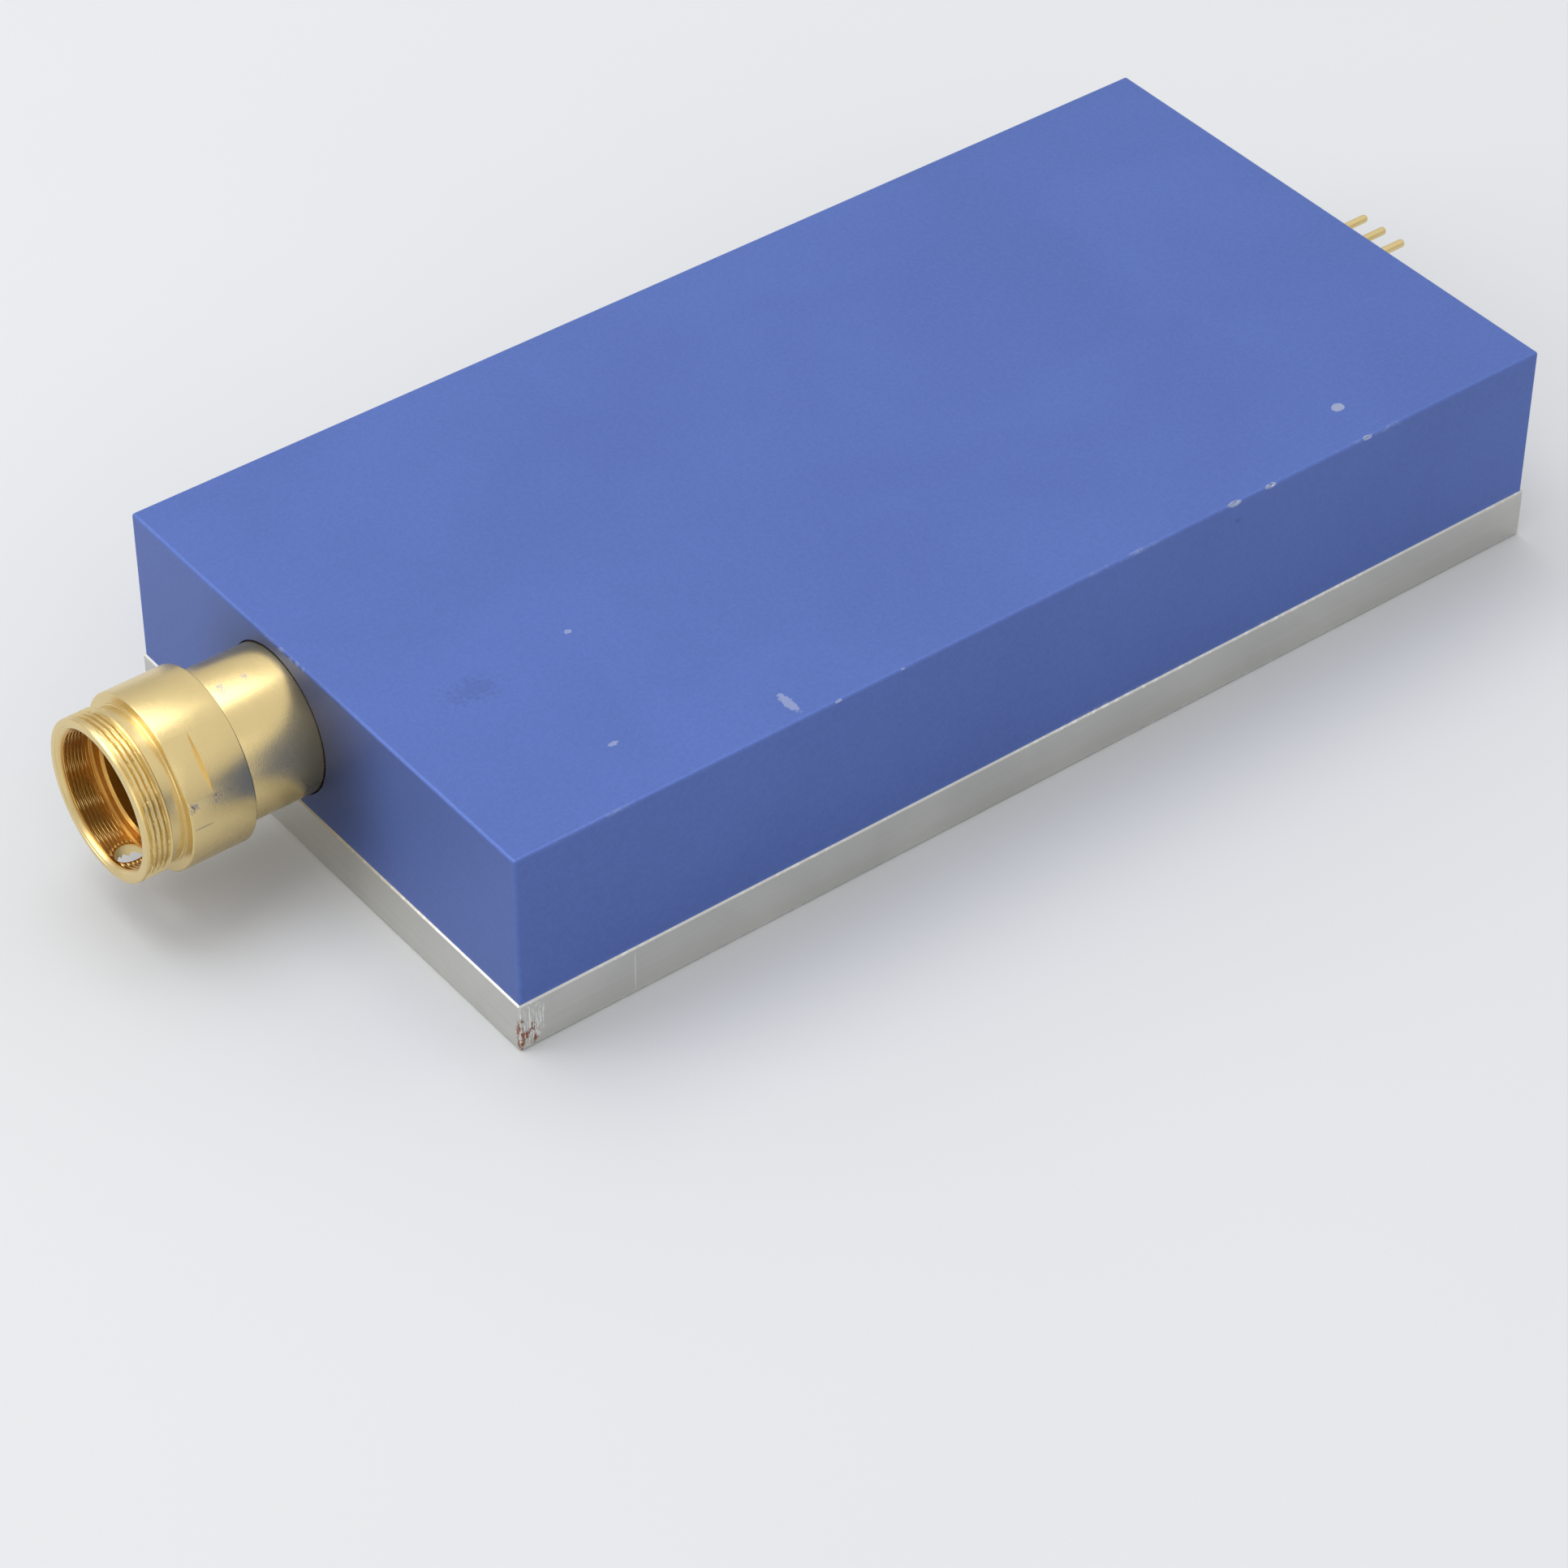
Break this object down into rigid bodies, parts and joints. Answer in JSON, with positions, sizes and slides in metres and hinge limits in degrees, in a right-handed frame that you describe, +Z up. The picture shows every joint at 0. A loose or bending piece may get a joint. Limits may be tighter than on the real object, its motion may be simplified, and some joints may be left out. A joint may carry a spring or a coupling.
{
  "type": "fibre-coupled laser module",
  "caption": "Flat sealed laser module with a blue cover on a plated base plate, a threaded gold fibre connector at one end and pins at the other.",
  "frame": {"origin": "centre of the base plate's underside", "axes": "+X from the optical connector to the pin end, +Z up through the cover"},
  "size_m": [0.1387, 0.057, 0.0206],
  "materials": {
    "nickel_plate": "satin nickel plate on copper",
    "blue_anodise": "satin blue anodised aluminium",
    "gold_plate": "satin gold plate on brass",
    "seal_rubber": "matte",
    "screw_steel": "bright stainless steel",
    "mount_metal": "plain machined aluminium",
    "bare_copper": "gold-flashed copper",
    "ceramic": "fired white ceramic",
    "semiconductor": "polished dark chip",
    "coated_glass": "anti-reflection coated",
    "mirror_coating": "dielectric mirror",
    "header_plastic": "moulded liquid-crystal polymer"
  },
  "bodies": {
    "module": {"base_plate": "nickel_plate", "cover": "blue_anodise", "cover_gasket": "seal_rubber", "cover_screws": "screw_steel", "locating_dowels": "screw_steel", "receptacle_barrel": "gold_plate", "barrel_seal_ring": "seal_rubber", "receptacle_mount": "mount_metal", "receptacle_mount_screws": "screw_steel", "receptacle_locknut": "mount_metal", "protective_window": "coated_glass", "window_retaining_ring": "gold_plate", "focusing_lens": "coated_glass", "lens_retaining_ring": "mount_metal", "stepped_bench": "bare_copper", "bench_screws": "screw_steel", "chip_submounts": "ceramic", "laser_chips": "semiconductor", "fast_axis_lenses": "coated_glass", "slow_axis_lenses": "coated_glass", "turning_mirrors": "mirror_coating", "jumper_ribbons": "gold_plate", "supply_bus_bar": "bare_copper", "return_bus_bar": "bare_copper", "pin_header": "header_plastic", "header_screws": "screw_steel", "signal_pins": "gold_plate", "power_pins": "gold_plate", "sensor_board": "ceramic", "thermistor": "semiconductor", "monitor_photodiode": "header_plastic"},
    "sleeve_carriage": {"sleeve_seal_ring": "seal_rubber"},
    "sleeve": {"coupling_sleeve": "gold_plate"}
  },
  "joints": [
    {"name": "sleeve_advance", "type": "slide", "parent": "module", "child": "sleeve_carriage", "axis": [-1, 0, 0], "range_m": [0, 0.003]},
    {"name": "sleeve_unscrew", "type": "hinge", "parent": "sleeve_carriage", "child": "sleeve", "pos_m": [-0.06635, 0.0063, 0.0124], "axis": [-1, 0, 0], "range_deg": [0, 2160]}
  ],
  "couplings": [
    {"joint": "sleeve_advance", "follows": "sleeve_unscrew", "m_per_rad": 0.000079577}
  ]
}
